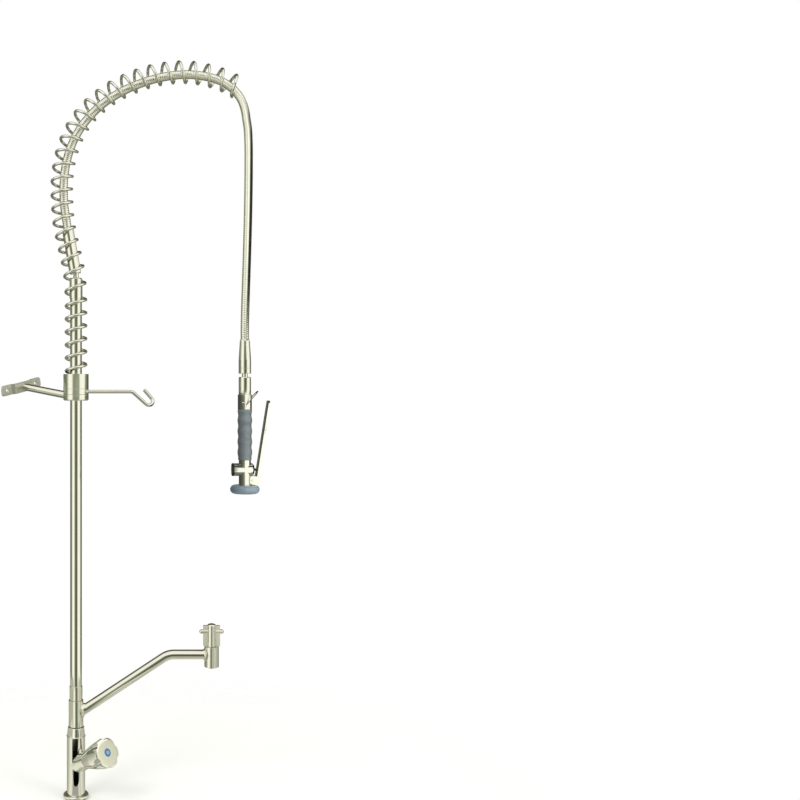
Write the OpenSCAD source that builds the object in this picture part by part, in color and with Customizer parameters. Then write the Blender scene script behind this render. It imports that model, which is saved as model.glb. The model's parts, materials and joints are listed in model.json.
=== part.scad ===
// Deck-mounted pre-rinse faucet: pillar tap base, swivel spout with its own
// shut-off valve, riser with wall support, balance spring, hose and hand spray.
// Origin: centre of the tap hole, on the worktop. +Z up, +X along the spout.

/* [Base] */
// Radius of the pillar body
base_r = 15.6; // [15:0.1:18]
// Height of the top of the pillar body above the worktop
base_top = 104; // [100:1:106]
// Radius of the flange that covers the tap hole
flange_r = 21.7; // [21:0.1:26]
// Radius over the thread of the inlet shank (G 1/2)
shank_r = 10.48; // [10:0.01:10.48]
// Length of the inlet shank below the worktop
shank_len = 58; // [50:1:70]
// Distance from the worktop to the clamping washer
clamp_gap = 26; // [20:1:34]

/* [Tap knob] */
// Height of the knob axis where it crosses the pillar axis
knob_z = 56; // [55:1:60]
// Compass direction of the knob, from +X
knob_az = -45; // [-60:5:-30]
// Tilt of the knob axis above the horizontal
knob_el = 27; // [24:1:29]
// Distance from the pillar axis to the knob's face
knob_face = 88; // [86:1:92]
// Radius of the knob's face over its lobes
knob_r = 24.5; // [23:0.5:26]
// Number of flutes round the knob
knob_flutes = 6; // [5:1:8]

/* [Spout] */
// Radius of the swivel hub
hub_r = 12.5; // [12:0.1:13]
// Height of the spout's level stretch above the worktop
spout_z = 242.5; // [235:0.5:250]
// Reach of the spout from the riser axis to the outlet axis
spout_reach = 230.5; // [220:0.5:245]
// Rise angle of the spout's sloping stretch
spout_rise = 33.3; // [31:0.1:35]
// Outside radius of the spout tube
spout_r = 8; // [7:0.5:8.5]
// Radius of the outlet body
outlet_r = 12.3; // [11.5:0.1:13]

/* [Riser] */
// Outside radius of the riser tube
riser_r = 10; // [10:0.01:10.02]
// Top of the riser tube
riser_top = 865; // [864:0.5:866]
// Radius of the collar rings on the riser
collar_r = 21.5; // [21:0.1:22]
// Distance from the riser axis to the wall
wall_d = 125; // [115:1:140]
// Compass direction of the wall support arm, from +X
wall_az = 145; // [130:1:150]
// Rise angle of the wall support arm towards the wall
arm_rise = 8.5; // [4:0.5:10]
// Slant of the wall strap, turned on its arm
strap_roll = 10; // [0:1:12]
// Distance between the two wall screws
wall_pitch = 75; // [70:1:78]
// Radius of a wall screw hole
wall_hole_r = 2.75; // [2.25:0.25:3]

/* [Hook] */
// Wire radius of the handset hook
hook_wire_r = 3; // [2.5:0.1:3]
// Length of the hook's level stretch beyond the collar
hook_len = 70; // [64:1:72]

/* [Spring and hose] */
// Mean radius of the balance spring
spring_r = 17; // [16.8:0.1:17]
// Wire radius of the balance spring
spring_wire_r = 2.5; // [2.2:0.1:2.5]
// Pitch of the balance spring
spring_pitch = 22.5; // [20:0.1:26]
// Radius of the armoured hose
hose_r = 7.25; // [6.5:0.05:7.25]

/* [Handset] */
// Distance from the riser axis to the hanging handset's axis
hand_x = 287; // [286:0.5:288]
// Radius of the grip over its waves
grip_r = 12.5; // [11.8:0.1:12.6]
// Radius of the bumper ring round the spray face
bumper_r = 25; // [23:0.5:26]
// Angle of the released trigger lever from the grip
lever_tilt = 9; // [8.5:0.5:9]

/* [Hidden] */
$fn = 64;

chrome = "gainsboro";
steel = "silver";
rubber = "dimgray";
blue_grey = "slategray";

// heights of the stacked pieces on the riser
hub_z0 = 121.4;
hub_z1 = 165.3;
cup_z0 = 694;
hook_z0 = 684.2;
brk_z0 = 674;
collar_bore = 10.05;
wall_z = 697.5;

// pivot of the hanging stretch of hose
sway_x = 290;
sway_z = 1150;

// handset levels
barrel_z = 556.6;
lever_px = 12.5;
lever_pz = 539;
clip_px = 2;
clip_pz = 667.6;

// centre line of the balance spring, in the XZ plane
SPRING_ROUTE = [[0, 690], [0, 740], [0, 790], [0, 840], [-1, 868], [-3, 890], [-7, 912], [-12, 934],
    [-17, 956], [-21, 978], [-23, 1000], [-24, 1022], [-24, 1044], [-22, 1066], [-18, 1088],
    [-12, 1108], [-4, 1127], [6, 1145], [18, 1161], [32, 1175], [48, 1188], [66, 1200],
    [86, 1210], [108, 1219], [131, 1226], [154, 1230], [177, 1232], [200, 1231], [222, 1227],
    [243, 1221], [262, 1213], [278, 1203]];
// centre line of the hose inside the spring, up to the pivot
ARCH_ROUTE = [[-14.1, 964.9], [-17, 984], [-20, 1005], [-21, 1030], [-20, 1055], [-16, 1080], [-9, 1104],
    [0, 1124], [12, 1143], [26, 1160], [44, 1177], [64, 1191], [86, 1203], [110, 1213],
    [136, 1221], [162, 1226], [188, 1228], [212, 1226], [232, 1222], [250, 1215], [266, 1204],
    [278, 1190], [284, 1178], [287.8, 1165], [290, 1150]];
// centre line of the hanging stretch, from the pivot down to the handset ferrule
DROP_ROUTE = [[290.1, 1149.6], [292.3, 1134.6], [293.4, 1110], [293.6, 1080], [293.2, 1030], [292, 970], [290, 900], [288, 840],
    [287, 800], [287, 776]];

// winding of the balance spring: turns, and distance along the route in pitches; the first
// turn is closed, and it is wound wider where the hose joins the riser
WIND = [[0, 0], [1, 0.24], [7.25, 6.36], [9.25, 8.8], [11.25, 10.8], [15.25, 14.82], [33.3, 33.42]];

// smooth curve through a list of points
function cr(a, b, c, d, t) = 0.5 * (2 * b + (c - a) * t + (2 * a - 5 * b + 4 * c - d) * t * t
    + (3 * b - a - 3 * c + d) * t * t * t);
function at(p, i) = i < 0 ? 2 * p[0] - p[1] : i >= len(p) ? 2 * p[len(p) - 1] - p[len(p) - 2] : p[i];
function smooth(p, k) = [for (i = [0:len(p) - 2]) for (j = [0:k - 1])
    cr(at(p, i - 1), p[i], p[i + 1], at(p, i + 2), j / k), p[len(p) - 1]];
function runs(p, i = 1, s = [0]) = i >= len(p) ? s
    : runs(p, i + 1, concat(s, [s[i - 1] + norm(p[i] - p[i - 1])]));

// tube swept along a route in the XZ plane, closed at both ends
module planar_tube(route, r, step, sides) {
    fine = smooth(route, 8);
    s = runs(fine);
    total = s[len(s) - 1];
    n = ceil(total / step);
    tx = [for (i = [0:len(s) - 1]) [s[i], fine[i][0]]];
    tz = [for (i = [0:len(s) - 1]) [s[i], fine[i][1]]];
    function px(d) = lookup(d, tx);
    function pz(d) = lookup(d, tz);
    pts = [for (i = [0:n]) let (d = total * i / n, a = max(0, d - 2), b = min(total, d + 2),
        t = [px(b) - px(a), pz(b) - pz(a)], u = t / norm(t))
        for (k = [0:sides - 1]) let (w = 360 * k / sides)
            [px(d) + r * cos(w) * u[1], r * sin(w), pz(d) - r * cos(w) * u[0]]];
    faces = concat([[for (k = [0:sides - 1]) k]],
        [for (i = [0:n - 1]) for (k = [0:sides - 1]) let (m = (k + 1) % sides)
            [i * sides + k, (i + 1) * sides + k, (i + 1) * sides + m, i * sides + m]],
        [[for (k = [0:sides - 1]) n * sides + sides - 1 - k]]);
    polyhedron(points = pts, faces = faces, convexity = 10);
}

// helical wire wound round a route in the XZ plane
module planar_spring(route, s0, s1, mean_r, wire_r, pitch, per_turn, sides) {
    fine = smooth(route, 6);
    s = runs(fine);
    tx = [for (i = [0:len(s) - 1]) [s[i], fine[i][0]]];
    tz = [for (i = [0:len(s) - 1]) [s[i], fine[i][1]]];
    turns = 33.3 + ((s1 - s0) / pitch - 33.42) / 1.03;
    n = ceil(turns * per_turn);
    function dist(u) = s0 + pitch * (u <= 33.3 ? lookup(u, WIND) : 33.42 + (u - 33.3) * 1.03);
    function core(d) = [lookup(d, tx), 0, lookup(d, tz)];
    function dirn(d) = let (t = core(d + 1.5) - core(d - 1.5)) t / norm(t);
    function wire(u) = let (d = dist(u), t = dirn(d), a = 360 * u - 90)
        core(d) + mean_r * (cos(a) * [t[2], 0, -t[0]] + sin(a) * [0, 1, 0]);
    pts = [for (i = [0:n]) let (u = turns * i / n, c = wire(u), g = wire(u + 0.01) - wire(u - 0.01),
        w = g / norm(g), o = c - core(dist(u)), q = o - (o * w) * w, e = q / norm(q), f = cross(w, e))
        for (k = [0:sides - 1]) let (v = 360 * k / sides) c + wire_r * (cos(v) * e + sin(v) * f)];
    faces = concat([[for (k = [0:sides - 1]) sides - 1 - k]],
        [for (i = [0:n - 1]) for (k = [0:sides - 1]) let (m = (k + 1) % sides) for (h = [0, 1])
            h == 0 ? [i * sides + k, i * sides + m, (i + 1) * sides + m]
                : [i * sides + k, (i + 1) * sides + m, (i + 1) * sides + k]],
        [[for (k = [0:sides - 1]) n * sides + k]]);
    polyhedron(points = pts, faces = faces, convexity = 20);
}

module ring(r, ri, z0, z1) {
    translate([0, 0, z0]) difference() {
        cylinder(r = r, h = z1 - z0);
        translate([0, 0, -1]) cylinder(r = ri, h = z1 - z0 + 2);
    }
}

// bar along +X, children follow at its end
module run(r, l) {
    translate([-0.4, 0, 0]) rotate([0, 90, 0]) cylinder(r = r, h = l + 0.8);
    translate([l, 0, 0]) children();
}
module go(l) { translate([l, 0, 0]) children(); }
// bend towards +Z by angle a on radius R
module bend(r, R, a) {
    rotate([90, 0, 0]) translate([0, R, 0]) rotate([0, 0, -90]) rotate_extrude(angle = a)
        translate([R, 0]) circle(r = r - 0.02);
    translate([R * sin(a), 0, R * (1 - cos(a))]) rotate([0, -a, 0]) children();
}
module roll(a) { rotate([a, 0, 0]) children(); }

module knob_frame() {
    translate([0, 0, knob_z]) rotate([0, 0, knob_az]) rotate([0, 90 - knob_el, 0]) children();
}
// wall frame: on the strap's height; the strap itself is slanted
module wall_frame() {
    translate([0, 0, wall_z]) rotate([0, 0, wall_az]) children();
}
module strap_frame() { wall_frame() translate([wall_d, 0, 0]) rotate([-strap_roll, 0, 0]) children(); }
// arm frame: origin at the middle of the strap, +X along the arm away from the riser
module arm_frame() {
    wall_frame() translate([wall_d - 7.5, 0, 0]) rotate([0, -arm_rise, 0]) children();
}
module hand_frame() { translate([hand_x, 0, 0]) children(); }
module lever_frame() {
    translate([hand_x + lever_px, 0, lever_pz]) rotate([0, lever_tilt, 0]) children();
}

// ---------------------------------------------------------------- base
module inlet_shank() color("goldenrod") {
    difference() {
        union() {
            translate([0, 0, 1 - shank_len]) cylinder(r = shank_r, h = shank_len + 19.5);
            translate([0, 0, -shank_len]) cylinder(r1 = shank_r - 1, r2 = shank_r, h = 1);
        }
        translate([0, 0, -shank_len - 1]) cylinder(r = 7, h = shank_len + 30);
        // thread relief below the back nut
        translate([0, 0, -clamp_gap - 12.4]) difference() {
            cylinder(r = 20, h = 1.2);
            translate([0, 0, -1]) cylinder(r = 9.6, h = 4);
        }
    }
}
module deck_gasket() color(rubber) ring(flange_r - 2.5, shank_r + 0.5, 0, 1.5);
module base_flange() color(chrome) rotate_extrude() difference() {
    union() {
        translate([shank_r + 0.3, 1.5]) square([flange_r - 2.7 - shank_r - 0.3, 3.7]);
        translate([flange_r - 2.7, 4.2]) circle(r = 2.7, $fn = 32);
    }
    translate([0, -2]) square([40, 3.5]);
}
module base_body() color(chrome) difference() {
    union() {
        translate([0, 0, 5.2]) cylinder(r = base_r, h = base_top - 5.2);
        knob_frame() rotate_extrude()
            polygon([[0, 0], [base_r - 0.3, 0], [base_r - 0.3, 13], [14.9, 18], [14.3, 24], [14, 29], [14, 33.4], [0, 33.4]]);
    }
    // shank socket, lower waterway, upper chamber, thread for the swivel core
    translate([0, 0, 4]) cylinder(r = shank_r + 0.02, h = 17);
    translate([0, 0, 20]) cylinder(r = 6.5, h = 30);
    translate([0, 0, 68.5]) cylinder(r = 9, h = 40);
    translate([0, 0, 88]) cylinder(r = 11.02, h = 20);
    // headwork socket and valve seat
    knob_frame() {
        translate([0, 0, 9]) cylinder(r = 9.5, h = 30);
        translate([0, 0, 29]) cylinder(r = 12.6, h = 10);
        translate([0, 0, -3]) cylinder(r = 5.5, h = 14);
    }
    translate([0, 0, 46]) cylinder(r = 5.4, h = 10);
}
module deck_washer() color(rubber) ring(20, shank_r + 0.3, -clamp_gap - 3, -clamp_gap);
module back_nut() color("goldenrod") difference() {
    union() {
        translate([0, 0, -clamp_gap - 11]) cylinder(r = 15.6, h = 8, $fn = 6);
        translate([0, 0, -clamp_gap - 4.5]) cylinder(r = 17, h = 1.5);
    }
    translate([0, 0, -clamp_gap - 20]) cylinder(r = shank_r + 0.02, h = 30);
}
module headwork_bonnet() color("goldenrod") knob_frame() difference() {
    union() {
        translate([0, 0, 17.6]) cylinder(r = 9.45, h = 12);
        translate([0, 0, 30.2]) cylinder(r = 11, h = 3.3, $fn = 6);
        translate([0, 0, 29]) cylinder(r = 9.2, h = 3);
        translate([0, 0, 33]) cylinder(r = 6.5, h = 8);
    }
    translate([0, 0, 10]) cylinder(r = 6.1, h = 15.3);
    translate([0, 0, 25]) cylinder(r = 6.0, h = 3);
    translate([0, 0, 27]) cylinder(r = 4.05, h = 20);
}
module headwork_seal() color(rubber) knob_frame() ring(11, 9.5, 29.05, 30.15);

// ---------------------------------------------------------------- tap knob
module tap_knob() color(chrome) knob_frame() difference() {
    rotate_extrude() difference() {
        union() {
            polygon([[0, 34.2], [14.2, 34.2], [14.9, 34.9], [20.2, 57], [knob_r - 1.5, 74], [knob_r, knob_face - 4],
                [knob_r - 0.2, knob_face - 2], [knob_r - 1, knob_face - 1], [knob_r - 2.4, knob_face - 0.5],
                [knob_r - 6, knob_face - 0.15], [0, knob_face]]);
        }
        // hollow behind, room for the hexagon
        translate([0, 29]) square([12.2, 21]);
        translate([0, 49]) square([4.02, 15.2]);
        translate([0, 60]) square([1.7, 10]);
        translate([0, 67]) square([6.45, 30]);
    }
    for (i = [0:knob_flutes - 1]) rotate([0, 0, i * 360 / knob_flutes - 8])
        translate([knob_r + 7.4, 0, knob_face]) rotate([0, -7, 0]) translate([0, 0, -60])
            cylinder(r = 10.6, h = 80);
}
module tap_spindle() color("goldenrod") knob_frame() difference() {
    union() {
        translate([0, 0, 17.5]) cylinder(r = 3, h = 9);
        translate([0, 0, 25.6]) cylinder(r = 5.8, h = 1.2);
        translate([0, 0, 26]) cylinder(r = 4, h = 38);
    }
    translate([0, 0, 54]) cylinder(r = 1.55, h = 20);
}
module knob_screw() color(steel) knob_frame() difference() {
    union() {
        translate([0, 0, 55]) cylinder(r = 1.5, h = 12.6);
        translate([0, 0, 67.1]) cylinder(r = 3.8, h = 2.6);
    }
    translate([0, 0, 68.4]) cylinder(r = 1.6, h = 3, $fn = 6);
}
module knob_index() color("steelblue") knob_frame() rotate_extrude()
    polygon([[0, knob_face - 5], [6.4, knob_face - 5], [6.4, knob_face], [5.9, knob_face + 0.5],
        [3.5, knob_face + 0.7], [3.3, knob_face + 0.3], [0, knob_face + 0.3]]);
module valve_jumper() color("goldenrod") knob_frame() difference() {
    union() {
        translate([0, 0, 10.6]) cylinder(r = 8, h = 2.4);
        translate([0, 0, 12]) cylinder(r = 6.0, h = 8.5);
    }
    translate([0, 0, 13.2]) cylinder(r = 3.05, h = 10);
}
module jumper_washer() color(rubber) knob_frame() ring(7.8, 1.5, 9.1, 10.6);

// ---------------------------------------------------------------- swivel and spout
module swivel_nut() color(steel) rotate_extrude()
    polygon([[11.2, 104], [16, 104], [16.3, 104.5], [16.1, 105.3], [15.3, 105.7], [15.2, 107], [13.9, 119.4],
        [13.5, 120.2], [9.6, 120.2], [9.6, 116], [11.2, 116]]);
module swivel_core() color(steel) difference() {
    union() {
        translate([0, 0, 88.5]) cylinder(r = 11, h = 27);
        translate([0, 0, 88.5]) cylinder(r = 9.5, h = 86);
    }
    translate([0, 0, 80]) cylinder(r = 6.5, h = 110);
    for (z = [126, 160]) translate([0, 0, z]) rotate_extrude() translate([8.7, 0]) square([2, 1.8], center = true);
    for (a = [0, 90]) rotate([0, 0, a]) translate([-20, 0, 143]) rotate([0, 90, 0]) cylinder(r = 3.5, h = 40);
}
module swivel_orings() color(rubber) for (z = [126, 160]) translate([0, 0, z])
    rotate_extrude() translate([8.62, 0]) circle(r = 0.88, $fn = 24);
module swivel_washer() color("black") ring(12, 9.6, 120.3, 121.2);
module spout_hub() color(steel) difference() {
    union() {
        translate([0, 0, hub_z0]) cylinder(r = hub_r, h = hub_z1 - hub_z0);
    }
    translate([0, 0, hub_z0 - 1]) cylinder(r = 9.55, h = hub_z1 - hub_z0 + 2);
    translate([0, 0, 143]) rotate_extrude() translate([9.5, -5]) square([1.2, 10]);
    translate([0, 0, 139.6]) rotate([0, -spout_rise, 0]) rotate([0, 90, 0]) cylinder(r = 6.4, h = 25);
}
spout_R = 33;
spout_l1 = (spout_z - 139.6 - spout_R * (1 - cos(spout_rise))) / sin(spout_rise);
spout_l2 = spout_reach - spout_l1 * cos(spout_rise) - spout_R * sin(spout_rise);
module spout_line(r, over) {
    translate([0, 0, 139.6]) rotate([0, -spout_rise, 0]) run(r, spout_l1) roll(180)
        bend(r, spout_R, spout_rise) roll(180) run(r, spout_l2 + over);
}
module spout_tube() color(steel) difference() {
    spout_line(spout_r, -6);
    spout_line(spout_r - 1.5, 1);
    translate([0, 0, 100]) cylinder(r = hub_r, h = 90);
    translate([spout_reach, 0, spout_z - 40]) cylinder(r = outlet_r, h = 80);
}
module outlet_frame() { translate([spout_reach, 0, 0]) children(); }
module outlet_body() color(steel) outlet_frame() difference() {
    translate([0, 0, 222]) cylinder(r = outlet_r, h = 34);
    translate([0, 0, 220]) cylinder(r = 9.52, h = 6);
    translate([0, 0, 225]) cylinder(r = 6.5, h = 12);
    translate([0, 0, 236]) cylinder(r = 8.52, h = 30);
    translate([-20, 0, spout_z]) rotate([0, 90, 0]) cylinder(r = 6.4, h = 20);
}
module outlet_cartridge() color("goldenrod") outlet_frame() difference() {
    union() {
        translate([0, 0, 246]) cylinder(r = 8.5, h = 10);
        for (a = [45:90:315]) rotate([0, 0, a]) translate([6.6, 0, 237.2]) cylinder(r = 1.5, h = 9);
        translate([0, 0, 236.2]) cylinder(r = 8.5, h = 1.4);
    }
    translate([0, 0, 235]) cylinder(r = 4, h = 3.5);
    translate([0, 0, 240]) cylinder(r = 3.05, h = 30);
}
module aerator_ring() color(steel) outlet_frame() difference() {
    union() {
        translate([0, 0, 222.2]) cylinder(r = 9.5, h = 3.6);
        translate([0, 0, 220.6]) cylinder(r = 8.4, h = 3);
        translate([0, 0, 220.1]) cylinder(r1 = 7.9, r2 = 8.4, h = 0.5);
    }
    translate([0, 0, 210]) cylinder(r = 7.4, h = 14.2);
    translate([0, 0, 210]) cylinder(r = 6, h = 20);
}
module aerator_screen() color("gray") outlet_frame() difference() {
    translate([0, 0, 221.8]) cylinder(r = 7.35, h = 1.6);
    for (x = [-6:3:6]) for (y = [-6:3:6]) if (x * x + y * y < 45)
        translate([x, y, 219]) cylinder(r = 0.9, h = 4, $fn = 16);
}
module outlet_spindle() color("goldenrod") outlet_frame() difference() {
    union() {
        translate([0, 0, 238.9]) cylinder(r = 3, h = 30);
        translate([0, 0, 237.9]) cylinder(r = 4.6, h = 1.8);
    }
    translate([2.6, 0, 237]) cylinder(r = 1.6, h = 3);
}
module wing_handle() color(steel) outlet_frame() difference() {
    union() {
        rotate_extrude() polygon([[0, 256.4], [7.5, 256.4], [7.5, 291.4], [7.1, 292.7], [6.1, 293.8], [4.2, 294.6],
            [0, 295]]);
        translate([-14.25, -2.6, 258.4]) cube([28.5, 5.2, 33.4]);
        translate([-12.25, -2.6, 256.4]) cube([24.5, 5.2, 33]);
        for (x = [-12.25, 12.25]) translate([x, 2.6, 258.4]) rotate([90, 0, 0]) cylinder(r = 2, h = 5.2);
    }
    translate([0, 0, 250]) cylinder(r = 3.02, h = 18.92);
    translate([-30, 0, 281.3]) rotate([0, 90, 0]) cylinder(r = 3.62, h = 60);
}
module handle_pin() color(steel) outlet_frame() translate([0, 0, 281.3]) rotate([0, 90, 0]) {
    translate([0, 0, -17.2]) cylinder(r = 3.6, h = 34.4);
    for (z = [-17.2, 17.2]) translate([0, 0, z]) scale(1) sphere(r = 3.6);
}

// ---------------------------------------------------------------- riser and collar
module riser_sleeve() color(steel) difference() {
    translate([0, 0, hub_z1 + 0.3]) cylinder(r = 11, h = 189 - hub_z1 - 0.3);
    translate([0, 0, 160]) cylinder(r = 9.52, h = 20);
    translate([0, 0, 175]) cylinder(r = riser_r + 0.02, h = 20);
}
module riser_tube() color(steel) ring(riser_r, 8.5, 175, riser_top);
module spring_cup() color(steel) difference() {
    translate([0, 0, cup_z0]) cylinder(r = collar_r, h = 25);
    translate([0, 0, cup_z0 + 5]) cylinder(r = 19.85, h = 30);
    translate([0, 0, cup_z0 - 1]) cylinder(r = collar_bore, h = 10);
    rotate([0, 0, 200]) translate([0, 0, cup_z0 + 2.5]) rotate([0, 90, 0]) cylinder(r = 2.02, h = 40);
}
module hook_ring() color(steel) difference() {
    translate([0, 0, hook_z0]) cylinder(r = collar_r, h = cup_z0 - hook_z0 - 0.1);
    translate([0, 0, hook_z0 - 1]) cylinder(r = collar_bore, h = 20);
    translate([0, 0, 689]) rotate([0, 90, 0]) cylinder(r = hook_wire_r + 0.02, h = 40);
    rotate([0, 0, 200]) translate([0, 0, 689]) rotate([0, 90, 0]) cylinder(r = 2.02, h = 40);
}
module handset_hook() color(steel) translate([14, 0, 689]) run(hook_wire_r, hook_len + 7.5)
    roll(180) bend(hook_wire_r, 11, 42) roll(180) run(hook_wire_r, 27) roll(-26)
    bend(hook_wire_r, 7.5, 172) run(hook_wire_r, 18.5) rotate([0, 90, 0])
    cylinder(r1 = hook_wire_r - 0.05, r2 = hook_wire_r - 1.3, h = 1.8);
module bracket_ring() color(steel) difference() {
    union() {
        translate([0, 0, brk_z0 + 1.5]) cylinder(r = collar_r, h = hook_z0 - brk_z0 - 1.6);
        translate([0, 0, brk_z0]) cylinder(r1 = collar_r - 1.5, r2 = collar_r, h = 1.5);
    }
    translate([0, 0, brk_z0 - 1]) cylinder(r = collar_bore, h = 20);
    rotate([0, 0, wall_az]) translate([8, 0, 679.2]) rotate([0, 90, 0]) cylinder(r = 2.52, h = 40);
    rotate([0, 0, -32]) translate([0, 0, 679.2]) rotate([0, 90, 0]) cylinder(r = 2.02, h = 40);
}
module bracket_arm() color(steel) {
    difference() {
        arm_frame() translate([-wall_d, 0, 0]) rotate([0, 90, 0]) cylinder(r = 6.4, h = wall_d + 20);
        translate([0, 0, 640]) cylinder(r = collar_r + 0.1, h = 100);
        rotate([0, 0, wall_az]) translate([-60, -40, 640]) cube([60, 80, 100]);
        wall_frame() translate([wall_d - 9, -40, -60]) cube([60, 80, 120]);
    }
    rotate([0, 0, wall_az]) translate([14, 0, 679.2]) rotate([0, 90, 0]) cylinder(r = 2.5, h = 9.5);
}
module wall_bracket() color(steel) strap_frame() difference() {
    intersection() {
        translate([0, 0, -9]) linear_extrude(18)
            polygon([[0, 60], [0, 26], [-1.2, 24.6], [-4.8, 21.6], [-6, 20], [-6, -20], [-4.8, -21.6],
                [-1.2, -24.6], [0, -26], [0, -60], [-3, -60], [-3, -27.4], [-7.4, -23.8], [-9, -21.6],
                [-9, 21.6], [-7.4, 23.8], [-3, 27.4], [-3, 60]]);
        union() {
            for (m = [-1, 1]) for (z = [-3.5, 3.5]) translate([-20, m * (wall_pitch / 2 + 8.5), z]) rotate([0, 90, 0])
                cylinder(r = 5.5, h = 30);
            translate([-20, -wall_pitch / 2 - 8.5, -9]) cube([30, wall_pitch + 17, 18]);
            translate([-20, -wall_pitch / 2 - 14, -3.5]) cube([30, wall_pitch + 28, 7]);
        }
    }
    for (m = [-1, 1]) translate([-5, m * wall_pitch / 2, 0]) rotate([0, 90, 0]) {
        cylinder(r = wall_hole_r, h = 8);
        translate([0, 0, 1.9]) cylinder(r1 = wall_hole_r + 1.3, r2 = wall_hole_r, h = 1.3);
    }
}
module grub_screw(z, a, r0) {
    rotate([0, 0, a]) translate([r0, 0, z]) rotate([0, 90, 0]) difference() {
        cylinder(r = 2, h = collar_r - r0 - 0.6);
        translate([0, 0, collar_r - r0 - 2.6]) cylinder(r = 1.1, h = 4, $fn = 6);
    }
}
module grub_screws() color("dimgray") {
    grub_screw(cup_z0 + 2.5, 200, 10.1);
    grub_screw(689, 200, 10.1);
    grub_screw(679.2, -32, 10.1);
}

// ---------------------------------------------------------------- hose ends
module lower_hose_nut() color(steel) difference() {
    union() {
        translate([0, 0, 847]) cylinder(r = 11, h = 33);
        translate([0, 0, 880]) cylinder(r1 = 11, r2 = 9.5, h = 2);
    }
    translate([0, 0, 846]) cylinder(r = riser_r + 0.02, h = 19.2);
    translate([0, 0, 865]) cylinder(r = 7.5, h = 14);
    translate([0, 0, 870]) cylinder(r = 4.55, h = 20);
}
module lower_hose_washer() color(rubber) ring(7.4, 4, riser_top + 0.05, riser_top + 2);
module lower_hose_nipple() color(steel) difference() {
    union() {
        translate([0, 0, 867.3]) cylinder(r = 7.1, h = 6);
        translate([0, 0, 872]) cylinder(r = 4.5, h = 20.5);
    }
    translate([0, 0, 860]) cylinder(r = 3, h = 40);
    ferrule_frame() translate([-20, -20, 0]) cube([40, 40, 20]);
}
module ferrule_frame() { translate([-1, 0, 889.5]) rotate([0, -9.8, 0]) children(); }
module lower_hose_ferrule() color(steel) ferrule_frame() difference() {
    union() {
        cylinder(r = 9.2, h = 1);
        translate([0, 0, 1]) cylinder(r = 10, h = 73.5);
        translate([0, 0, 74.5]) cylinder(r1 = 10, r2 = 9, h = 2);
    }
    translate([0, 0, -1]) cylinder(r = 3, h = 80);
}
module upper_hose_ferrule() color(steel) hand_frame() difference() {
    rotate_extrude() polygon([[3, 729], [10.6, 729], [10.6, 742], [9.8, 755], [8.4, 776], [8.0, 777.5],
        [7.3, 777.5], [7.3, 776], [3, 776]]);
}
module upper_hose_nipple() color(steel) hand_frame() difference() {
    union() {
        translate([0, 0, 719.8]) cylinder(r = 10.6, h = 9.1);
        translate([0, 0, 700]) cylinder(r = 4.9, h = 22);
        translate([0, 0, 696.3]) cylinder(r = 7.1, h = 6);
    }
    translate([0, 0, 690]) cylinder(r = 3, h = 50);
}

// ---------------------------------------------------------------- spring and hose
module balance_spring() color(steel)
    planar_spring(SPRING_ROUTE, 12.1, 764, spring_r, spring_wire_r, spring_pitch, 12, 6);
module hose_arch() color("lightgray") planar_tube(ARCH_ROUTE, hose_r, 18, 10);
module hose_drop() color("lightgray") planar_tube(DROP_ROUTE, hose_r, 22, 10);

// ---------------------------------------------------------------- handset
module upper_hose_nut() color(steel) hand_frame() difference() {
    union() {
        translate([0, 0, 684.1]) cylinder(r = 10.5, h = 28.4);
        translate([0, 0, 712.5]) cylinder(r1 = 10.5, r2 = 9.4, h = 1.7);
    }
    translate([0, 0, 680]) cylinder(r = 8.02, h = 14.2);
    translate([0, 0, 694]) cylinder(r = 7.5, h = 17);
    translate([0, 0, 700]) cylinder(r = 4.95, h = 20);
}
module upper_hose_washer() color(rubber) hand_frame() ring(7.4, 4, 694.05, 696);
module handset_pipe() color(steel) hand_frame() ring(8, 6, 569.2, 694);
module clip_collar() color(chrome) hand_frame() difference() {
    translate([0, 0, 658.9]) cylinder(r = 12, h = 25.1);
    translate([0, 0, 650]) cylinder(r = 8.02, h = 40);
    translate([clip_px, 20, clip_pz]) rotate([90, 0, 0]) cylinder(r = 0.85, h = 40);
    translate([-5.6, -14, 670.2]) cube([5, 4, 0.9]);
}
module grip_sleeve() color(blue_grey) hand_frame() rotate_extrude() difference() {
    polygon(concat([[8.03, 573]], [[11.2, 573]],
        [for (z = [575:1.8:656.7]) [grip_r - 0.6 + 0.6 * cos((z - 640) * 360 / 18), z]],
        [[11.9, 658.8], [8.03, 658.8]]));
}
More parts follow.
